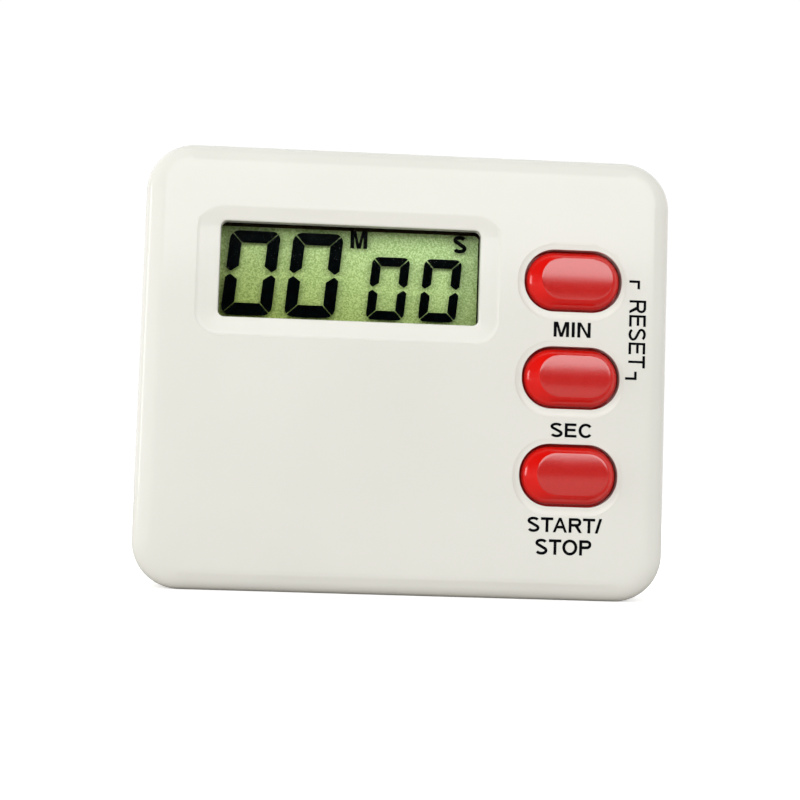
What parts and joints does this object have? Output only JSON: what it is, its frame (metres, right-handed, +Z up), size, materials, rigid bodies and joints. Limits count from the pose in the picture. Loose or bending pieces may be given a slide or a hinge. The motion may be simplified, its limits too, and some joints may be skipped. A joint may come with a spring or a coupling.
{
  "type": "kitchen timer",
  "caption": "Small upright digital kitchen timer: glossy white two-shell case, sunk display window, red oval push buttons, fold-out stand, magnets and a sliding battery door.",
  "frame": {"origin": "bottom centre of the whole object's box, under the case's bottom edge", "axes": "+Z up, the timer standing on its bottom edge; the face looks towards -Y; +X is to the right of someone who reads it"},
  "size_m": [0.075, 0.018, 0.063],
  "materials": {
    "white_case": "glossy injection-moulded white ABS",
    "red_button": "glossy red plastic with a satin top",
    "carbon_rubber": "matte conductive rubber",
    "clear_window": "clear moulded plastic window",
    "display_glass": "thin clear glass",
    "polariser": "grey-green polarising film",
    "reflector": "green-grey reflecting film",
    "holder_plastic": "matte moulded plastic",
    "elastomer": "striped silicone strip",
    "keypad_rubber": "matte silicone rubber",
    "board": "green solder mask on glass-fibre board",
    "black_resin": "black epoxy",
    "ceramic_tan": "fired ceramic",
    "capacitor_sleeve": "shrunk plastic sleeve",
    "nickel_can": "drawn nickel can",
    "copper_coil": "enamelled copper winding",
    "brass_plate": "thin rolled brass",
    "piezo_ceramic": "silvered ceramic",
    "cell_jacket": "printed foil jacket, plain",
    "nickel_contact": "nickel-plated spring steel",
    "steel_screw": "zinc-plated steel",
    "magnet": "nickel-plated disc magnet",
    "red_lead": "PVC-covered wire",
    "black_lead": "PVC-covered wire"
  },
  "bodies": {
    "root": {"battery_cell": "cell_jacket", "battery_lead_black": "black_lead", "battery_lead_red": "red_lead", "battery_spring": "nickel_contact", "board_screw_1": "steel_screw", "board_screw_2": "steel_screw", "board_screw_3": "steel_screw", "board_screw_4": "steel_screw", "case_screw_1": "steel_screw", "case_screw_2": "steel_screw", "case_screw_3": "steel_screw", "case_screw_4": "steel_screw", "chip_capacitor": "ceramic_tan", "chip_resin_cap": "black_resin", "chip_resistor": "black_resin", "circuit_board": "board", "display_front_glass": "display_glass", "display_holder": "holder_plastic", "display_rear_glass": "display_glass", "display_reflector": "reflector", "display_window": "clear_window", "elastomer_connector": "elastomer", "electrolytic_capacitor": "capacitor_sleeve", "front_polariser": "polariser", "front_shell": "white_case", "keypad_mat": "keypad_rubber", "left_magnet": "magnet", "negative_contact": "nickel_contact", "positive_contact": "nickel_contact", "rear_shell": "white_case", "right_magnet": "magnet", "sounder_ceramic": "piezo_ceramic", "sounder_coil": "copper_coil", "sounder_lead_black": "black_lead", "sounder_lead_red": "red_lead", "sounder_plate": "brass_plate", "timing_crystal": "nickel_can"},
    "min_key": {"min_button": "red_button", "min_contact_pad": "carbon_rubber"},
    "sec_key": {"sec_button": "red_button", "sec_contact_pad": "carbon_rubber"},
    "start_stop_key": {"start_stop_button": "red_button", "start_stop_contact_pad": "carbon_rubber"},
    "stand": {"fold_out_stand": "white_case"},
    "door": {"battery_door": "white_case"}
  },
  "joints": [
    {"name": "min_press", "type": "slide", "parent": "root", "child": "min_key", "axis": [0, 1, 0], "range_m": [0, 0.0008], "stiffness_N_per_m": 1500, "springref_m": -0.0006},
    {"name": "sec_press", "type": "slide", "parent": "root", "child": "sec_key", "axis": [0, 1, 0], "range_m": [0, 0.0008], "stiffness_N_per_m": 1500, "springref_m": -0.0006},
    {"name": "start_stop_press", "type": "slide", "parent": "root", "child": "start_stop_key", "axis": [0, 1, 0], "range_m": [0, 0.0008], "stiffness_N_per_m": 1500, "springref_m": -0.0006},
    {"name": "stand_fold", "type": "hinge", "parent": "root", "child": "stand", "pos_m": [0, 0.0074, 0.05], "axis": [1, 0, 0], "range_deg": [0, 60]},
    {"name": "battery_door_slide", "type": "slide", "parent": "root", "child": "door", "axis": [-1, 0, 0], "range_m": [0, 0.054]}
  ]
}
